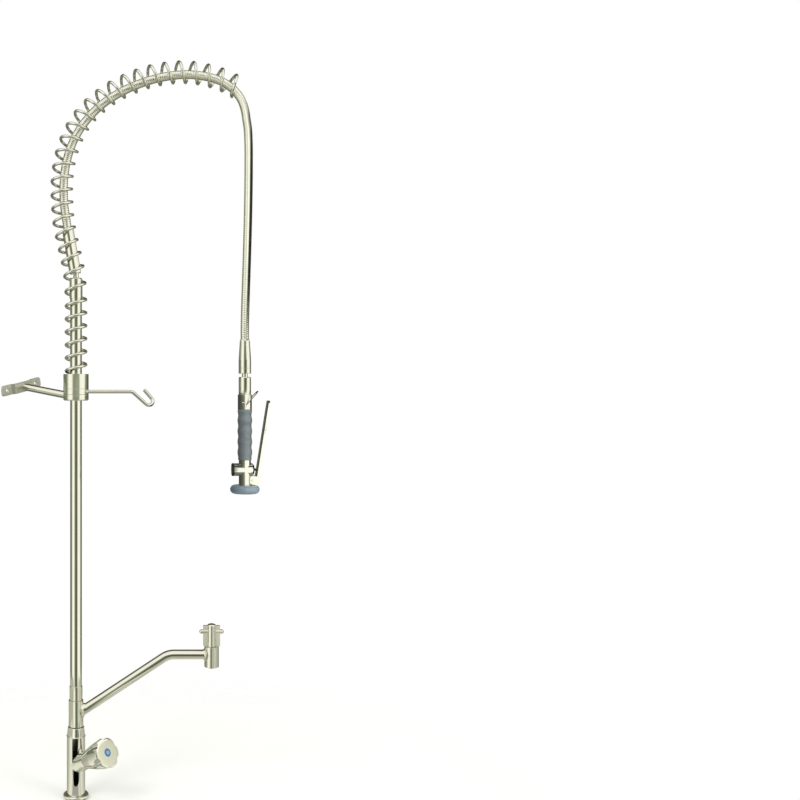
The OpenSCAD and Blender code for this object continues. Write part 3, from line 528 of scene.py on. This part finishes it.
def spring_line(per_turn, mean_r=17.0, pitch=22.5, s0=12.1, s1=764.0):
    turns = 33.3 + ((s1 - s0) / pitch - 33.42) / 1.03
    n = int(np.ceil(turns * per_turn))
    u = turns * np.arange(n + 1) / n
    wind = np.array(WIND, float)
    d = s0 + pitch * np.where(u <= 33.3, np.interp(u, wind[:, 0], wind[:, 1]), 33.42 + (u - 33.3) * 1.03)
    core = spring_route.at(d)
    t = spring_route.at(d + 1.5) - spring_route.at(d - 1.5)
    t /= np.linalg.norm(t, axis=1)[:, None]
    a = 2 * pi * u - pi / 2
    nrm = np.stack([t[:, 2], np.zeros(len(t)), -t[:, 0]], -1)
    return core + mean_r * (np.cos(a)[:, None] * nrm + np.sin(a)[:, None] * np.array([[0, 1.0, 0]]))


line = spring_line(36)
v, f = tube_mesh(line * MM, 2.5 * MM, 14)
spring = make("balance_coil", v, f, MAT["wire_steel"], "arch")
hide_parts("balance_spring")

# ---------------------------------------------------------------- spout tube, with its weld fillets
RISE, BEND_R, FOOT_Z, LEVEL_Z, REACH = radians(33.3), 33.0, 139.6, 242.5, 230.5
HUB_R, OUT_R, TUBE_R = 12.5, 12.3, 8.0
l1 = (LEVEL_Z - FOOT_Z - BEND_R * (1 - cos(RISE))) / sin(RISE)
arc = BEND_R * RISE
l2 = REACH - l1 * cos(RISE) - BEND_R * sin(RISE)


def spout_point(d):
    """Point and upward normal of the spout's centre line at distance d."""
    if d < l1:
        return np.array([d * cos(RISE), 0, FOOT_Z + d * sin(RISE)]), np.array([-sin(RISE), 0, cos(RISE)])
    if d < l1 + arc:
        q = RISE - (d - l1) / BEND_R
        c = np.array([l1 * cos(RISE) + BEND_R * sin(RISE), 0, LEVEL_Z - BEND_R])
        return c + BEND_R * np.array([-sin(q), 0, cos(q)]), np.array([-sin(q), 0, cos(q)])
    return np.array([d - l1 - arc + l1 * cos(RISE) + BEND_R * sin(RISE), 0, LEVEL_Z]), np.array([0, 0, 1.0])


def fillet(gap, f):
    g = min(max(gap, 0.0), f)
    return f - sqrt(max(0.0, f * f - (f - g) ** 2))


SIDES = 48
grid = []
mids = [20 + (l1 - 22) * j / 22 for j in range(23)] + [l1 + arc * j / 16 for j in range(17)] + \
    [l1 + arc + 1 + (l2 - 22) * j / 14 for j in range(15)]
for k in range(SIDES):
    q = 2 * pi * k / SIDES
    y0 = TUBE_R * sin(q)
    d0 = (sqrt((HUB_R - 0.7) ** 2 - y0 * y0) + TUBE_R * cos(q) * sin(RISE)) / cos(RISE)
    d1 = l1 + arc + l2 - sqrt((OUT_R - 0.7) ** 2 - y0 * y0)
    ds = [d0 + (mids[0] + 6 - d0) * (j / 12) ** 1.5 for j in range(12)] + [m for m in mids if m > mids[0] + 6] + \
        [d1 - (d1 - mids[-1]) * (1 - j / 12) ** 1.5 for j in range(1, 13)]
    col = []
    for d in ds:
        c, up = spout_point(d)
        w = np.array([0, 1.0, 0])
        e = c + TUBE_R * (cos(q) * up + sin(q) * w)
        gap_a = sqrt(e[0] ** 2 + e[1] ** 2) - HUB_R
        gap_b = sqrt((e[0] - REACH) ** 2 + e[1] ** 2) - OUT_R
        grow = fillet(gap_a, 5.0) * (0.75 + 0.25 * cos(q)) + fillet(gap_b, 3.8)
        col.append(c + (TUBE_R + grow) * (cos(q) * up + sin(q) * w))
    grid.append(col)
n_len = len(grid[0])
verts = [grid[k][j] for j in range(n_len) for k in range(SIDES)]
faces = grid_faces(n_len, SIDES)
verts += [np.mean([grid[k][0] for k in range(SIDES)], axis=0), np.mean([grid[k][-1] for k in range(SIDES)], axis=0)]
base_i = n_len * SIDES
for k in range(SIDES):
    m = (k + 1) % SIDES
    faces.append((base_i, m, k))
    faces.append((base_i + 1, (n_len - 1) * SIDES + k, (n_len - 1) * SIDES + m))
tube = make("filleted_spout_tube", np.array(verts) * MM, faces, MAT["polished_steel"], "spout", sharp=60)
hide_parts("spout_tube")

# ---------------------------------------------------------------- CAD nodes that stay: softened edges
for name, o in frame["nodes"].items():
    if not o.hide_render:
        soften(o, 0.5 if name in ("spring_cup", "hook_ring", "bracket_ring") else 0.25)

# ---------------------------------------------------------------- world and stage
world = bpy.data.worlds.new("studio")
scene.world = world
world.use_nodes = True
world.node_tree.nodes.clear()
n = Nodes(world.node_tree)
out = n.add("ShaderNodeOutputWorld")
bg = n.add("ShaderNodeBackground")
bg_cam = n.add("ShaderNodeBackground")
bg_cam.inputs["Color"].default_value = (1, 1, 1, 1)
bg_cam.inputs["Strength"].default_value = 1.0
mixer = n.add("ShaderNodeMixShader")
lp = n.add("ShaderNodeLightPath")
direction = n.add("ShaderNodeTexCoord").outputs["Generated"]
sep = n.add("ShaderNodeSeparateXYZ")
n.put(sep.inputs[0], direction)
# compass direction from the front (-Y), 0 in front, +-0.5 behind
azim = n.math("DIVIDE", n.math("ARCTAN2", sep.outputs["X"], n.math("MULTIPLY", sep.outputs["Y"], -1.0)), 2 * pi)
fac = n.math("ADD", azim, 0.5)
K = (0.001, 0.001, 0.001)
D = (0.11, 0.125, 0.082)
S = (0.19, 0.215, 0.145)
M = (0.42, 0.45, 0.34)
B = (1.22, 1.21, 1.10)


def a2f(deg):
    return 0.5 + deg / 360.0


def compass(stops):
    return n.ramp(fac, [(a2f(d), c) for d, c in stops])


# at eye level: dark card in the middle, bright cards on both sides, dark room behind
level = compass([(-180, M), (-150, S), (-98, S), (-80, M), (-66, B), (-34, B), (-24, (0.5, 0.52, 0.42)), (-14, (0.25, 0.28, 0.2)),
                 (2, D), (14, D), (22, S), (30, M), (42, B), (86, B), (98, M), (114, S), (132, D), (150, D), (170, S),
                 (180, S)])
# below eye level the middle card is wider and black
low = compass([(-180, (0.36, 0.37, 0.31)), (-140, (0.33, 0.34, 0.28)), (-116, (0.42, 0.42, 0.34)), (-98, (0.66, 0.65, 0.52)),
               (-78, (0.92, 0.90, 0.74)), (-62, (1.0, 0.99, 0.84)), (-48, (0.85, 0.84, 0.72)), (-43, K), (37, K),
               (42, (0.42, 0.42, 0.36)), (54, (0.62, 0.63, 0.54)), (70, (0.70, 0.71, 0.59)), (84, (0.95, 0.94, 0.78)),
               (102, (0.80, 0.80, 0.66)), (122, (0.54, 0.55, 0.46)), (150, (0.40, 0.40, 0.34)), (180, (0.36, 0.37, 0.31))])
# above it the side cards reach further round
high = compass([(-180, S), (-140, S), (-122, M), (-100, B), (-30, B), (-16, S), (12, S), (22, B), (118, B), (140, M),
                (160, S), (180, S)])
z = sep.outputs["Z"]
y = sep.outputs["Y"]
col = n.mix(n.remap(z, -0.321, -0.332, 0, 1, True), level, low)
col = n.mix(n.remap(z, 0.08, 0.22, 0, 1, True), col, high)
top = n.mix(n.remap(y, 0.02, 0.35, 0, 1, True), (1.12, 1.12, 1.04), (0.12, 0.085, 0.06))
col = n.mix(n.remap(z, 0.26, 0.38, 0, 1, True), col, top)
bottom = n.mix(n.remap(y, -0.10, 0.35, 0, 1, True), (0.46, 0.455, 0.38), (0.15, 0.155, 0.12))
col = n.mix(n.remap(z, -0.42, -0.52, 0, 1, True), col, bottom)
even = n.add("ShaderNodeBackground")
even.inputs["Color"].default_value = (1.0, 1.0, 0.98, 1)
even.inputs["Strength"].default_value = 0.95
soft = n.add("ShaderNodeMixShader")
n.put(bg.inputs["Color"], col)
bg.inputs["Strength"].default_value = 1.0
world.node_tree.links.new(lp.outputs["Is Camera Ray"], mixer.inputs[0])
world.node_tree.links.new(lp.outputs["Is Diffuse Ray"], soft.inputs[0])
world.node_tree.links.new(bg.outputs[0], soft.inputs[1])
world.node_tree.links.new(even.outputs[0], soft.inputs[2])
world.node_tree.links.new(soft.outputs[0], mixer.inputs[1])
world.node_tree.links.new(bg_cam.outputs[0], mixer.inputs[2])
world.node_tree.links.new(mixer.outputs[0], out.inputs[0])

# floor: a pale disc level with the worktop, fading out at its rim
segs = 96
fv = [(0.12, 0, 0)] + [(0.12 + 0.75 * cos(2 * pi * i / segs), 0.75 * sin(2 * pi * i / segs), 0) for i in range(segs)]
ff = [(0, 1 + i, 1 + (i + 1) % segs) for i in range(segs)]
fm, n, b, p = new_material("floor")
dist = n.vec("DISTANCE", p, (0.12, 0.0, 0.0))
b.inputs["Base Color"].default_value = (0.93, 0.93, 0.92, 1)
b.inputs["Roughness"].default_value = 0.6
n.put(b.inputs["Alpha"], n.remap(dist, 0.30, 0.74, 1.0, 0.0, True))
floor = make("floor", [(x, y, z - 0.0004) for x, y, z in fv], ff, fm, smooth=False)
floor.visible_glossy = False

# what the metal mirrors of the worktop: a pale sheet that ends a hand's breadth in front of the faucet
tm, n, b, p = new_material("worktop_mirror")
speck = n.noise(p, 60.0, 3.0)
b.inputs["Base Color"].default_value = (0.02, 0.02, 0.02, 1)
b.inputs["Roughness"].default_value = 0.7
b.inputs["Specular IOR Level"].default_value = 0.0
sep = n.add("ShaderNodeSeparateXYZ")
n.put(sep.inputs[0], p)
round_it = n.math("ADD", n.math("DIVIDE", n.math("ARCTAN2", sep.outputs["X"], n.math("MULTIPLY", sep.outputs["Y"], -1.0)),
                                2 * pi), 0.5)
G = (0.40, 0.41, 0.35)
bands = [(-180, M), (-140, M), (-112, (0.42, 0.42, 0.34)), (-92, (0.66, 0.65, 0.52)), (-70, (0.95, 0.94, 0.78)),
         (-46, (0.95, 0.94, 0.80)), (-32, G), (26, G), (36, (0.9, 0.9, 0.78)), (50, (0.7, 0.7, 0.6)), (72, (0.9, 0.89, 0.75)),
         (96, (0.7, 0.7, 0.58)), (118, (0.5, 0.5, 0.42)), (140, M), (180, M)]
glow = n.ramp(round_it, [(a2f(d), c) for d, c in bands])
n.put(b.inputs["Emission Color"], n.mix(n.remap(speck, 0.3, 0.7, 0.0, 0.08), glow, (0.3, 0.3, 0.26)))
b.inputs["Emission Strength"].default_value = 1.0
sheet = make("worktop_mirror", [(-0.5, -0.075, -0.0002), (0.7, -0.075, -0.0002), (0.7, 0.5, -0.0002), (-0.5, 0.5, -0.0002)],
             [(0, 1, 2, 3)], tm, smooth=False)
sheet.visible_camera = False
sheet.visible_diffuse = False
sheet.visible_shadow = False
sheet.visible_transmission = False


def card(name, corners, colour, reach, flag=False):
    """A studio card that only near metal mirrors: colour is a function of its nodes, reach is how far it shows.

    With flag set it also lights and shades the rubber next to it.
    """
    cm, n, b, p = new_material(name)
    b.inputs["Base Color"].default_value = (0.01, 0.01, 0.01, 1)
    b.inputs["Roughness"].default_value = 0.9
    b.inputs["Specular IOR Level"].default_value = 0.0
    n.put(b.inputs["Emission Color"], colour(n, p))
    b.inputs["Emission Strength"].default_value = 1.0
    clear = n.add("ShaderNodeBsdfTransparent")
    swap = n.add("ShaderNodeMixShader")
    n.put(swap.inputs[0], n.remap(n.add("ShaderNodeLightPath").outputs["Ray Length"], reach - 0.01, reach + 0.01, 0, 1))
    cm.node_tree.links.new(b.outputs[0], swap.inputs[1])
    cm.node_tree.links.new(clear.outputs[0], swap.inputs[2])
    out = next(k for k in cm.node_tree.nodes if k.type == "OUTPUT_MATERIAL")
    cm.node_tree.links.new(swap.outputs[0], out.inputs[0])
    o = make(name, corners, [(0, 1, 2, 3)], cm, smooth=False)
    o.visible_camera = False
    o.visible_diffuse = flag
    o.visible_shadow = False
    o.visible_transmission = False
    return o


def plain(c):
    return lambda n, p: n.mix(n.remap(n.noise(p, 9.0, 2.0), 0.3, 0.7), tuple(v * 0.96 for v in c), tuple(v * 1.04 for v in c))


def across(axis, stops):
    """Colour that changes along one axis of the stage, stops in metres."""
    def f(n, p):
        sep = n.add("ShaderNodeSeparateXYZ")
        n.put(sep.inputs[0], p)
        lo, hi = stops[0][0], stops[-1][0]
        return n.ramp(n.remap(sep.outputs[axis], lo, hi), [((v - lo) / (hi - lo), c) for v, c in stops])
    return f


# hand spray: pale card in front and to its right, dim card on its left, dark ones above and below its barrel
card("spray_front", [(0.215, -0.12, 0.44), (0.43, -0.12, 0.44), (0.43, -0.12, 0.686), (0.215, -0.12, 0.686)],
     across("X", [(0.215, S), (0.25, (0.22, 0.225, 0.18)), (0.282, (0.50, 0.50, 0.42)), (0.287, B), (0.43, B)]), 0.19, True)
card("spray_left", [(0.215, -0.12, 0.44), (0.215, 0.2, 0.44), (0.215, 0.2, 0.686), (0.215, -0.12, 0.686)],
     across("Y", [(-0.12, S), (-0.05, (0.10, 0.105, 0.08)), (0.02, (0.05, 0.052, 0.04)), (0.2, (0.03, 0.03, 0.025))]), 0.19, True)
card("spray_above", [(0.245, -0.075, 0.622), (0.345, -0.075, 0.622), (0.345, -0.012, 0.622), (0.245, -0.012, 0.622)],
     plain((0.09, 0.09, 0.075)), 0.10)
card("spray_below", [(0.245, -0.075, 0.492), (0.345, -0.075, 0.492), (0.345, -0.012, 0.492), (0.245, -0.012, 0.492)],
     plain((0.10, 0.10, 0.085)), 0.09)
# outlet: grey card in front and to its right
card("outlet_front", [(0.2315, -0.10, 0.13), (0.36, -0.10, 0.13), (0.36, -0.10, 0.31), (0.2315, -0.10, 0.31)],
     plain((0.58, 0.60, 0.50)), 0.14)
card("outlet_side", [(0.36, -0.10, 0.13), (0.36, 0.12, 0.13), (0.36, 0.12, 0.31), (0.36, -0.10, 0.31)],
     across("Y", [(-0.10, (0.58, 0.60, 0.50)), (0.02, (0.5, 0.52, 0.43)), (0.12, S)]), 0.19)
# spout hub: narrow dark line in front, bright to its left, greys further round
card("hub_front", [(-0.15, -0.10, 0.078), (0.15, -0.10, 0.078), (0.15, -0.10, 0.16), (-0.15, -0.10, 0.16)],
     across("X", [(-0.15, (0.5, 0.5, 0.4)), (-0.115, (0.5, 0.5, 0.4)), (-0.084, (0.75, 0.75, 0.62)), (-0.052, B), (-0.03, B),
                  (-0.014, (0.5, 0.54, 0.44)), (0.004, D), (0.02, D), (0.045, (0.3, 0.33, 0.24)), (0.08, (0.78, 0.79, 0.66)),
                  (0.15, (0.8, 0.8, 0.67))]), 0.19)
card("hub_left", [(-0.15, -0.10, 0.078), (-0.15, 0.15, 0.078), (-0.15, 0.15, 0.16), (-0.15, -0.10, 0.16)],
     plain((0.54, 0.54, 0.44)), 0.21)
card("hub_right", [(0.15, -0.10, 0.078), (0.15, 0.15, 0.078), (0.15, 0.15, 0.16), (0.15, -0.10, 0.16)],
     across("Y", [(-0.10, (0.78, 0.78, 0.66)), (-0.02, (0.55, 0.55, 0.45)), (0.15, (0.5, 0.5, 0.42))]), 0.21)
# hanging hose: pale card in front and to its left, dark one on its right
card("hose_front", [(0.185, -0.12, 0.805), (0.375, -0.12, 0.805), (0.375, -0.12, 1.20), (0.185, -0.12, 1.20)],
     across("X", [(0.185, (0.46, 0.49, 0.38)), (0.235, (0.72, 0.74, 0.60)), (0.265, (1.2, 1.2, 1.06)), (0.335, (1.3, 1.3, 1.18)),
                  (0.355, (0.8, 0.8, 0.68)), (0.375, (0.12, 0.13, 0.1))]), 0.19)
card("hose_right", [(0.375, -0.12, 0.805), (0.375, 0.2, 0.805), (0.375, 0.2, 1.20), (0.375, -0.12, 1.20)],
     across("Y", [(-0.12, (0.12, 0.13, 0.1)), (-0.08, (0.01, 0.012, 0.008)), (0.06, (0.01, 0.012, 0.008)), (0.2, S)]), 0.19)
# collar: grey card in front
card("collar_front", [(-0.062, -0.14, 0.672), (0.056, -0.14, 0.672), (0.056, -0.14, 0.722), (-0.062, -0.14, 0.722)],
     across("X", [(-0.062, (0.30, 0.31, 0.23)), (-0.03, (0.30, 0.32, 0.235)), (0.0, (0.36, 0.37, 0.28)),
                  (0.056, (0.42, 0.43, 0.33))]), 0.19)


def area(name, loc, aim, size, power, color=(1, 1, 1)):
    d = bpy.data.lights.new(name, "AREA")
    d.shape = "RECTANGLE"
    d.size, d.size_y = size
    d.energy = power
    d.color = color
    o = bpy.data.objects.new(name, d)
    o.location = loc
    o.rotation_euler = (Vector(aim) - Vector(loc)).to_track_quat("-Z", "Y").to_euler()
    o.visible_glossy = False
    scene.collection.objects.link(o)
    return o


area("key", (-1.6, -2.2, 2.6), (0.12, 0, 0.6), (1.2, 1.2), 30, (1.0, 0.99, 0.95))
area("fill", (2.2, -1.8, 1.6), (0.12, 0, 0.6), (1.0, 1.6), 18, (1.0, 1.0, 0.98))

import json
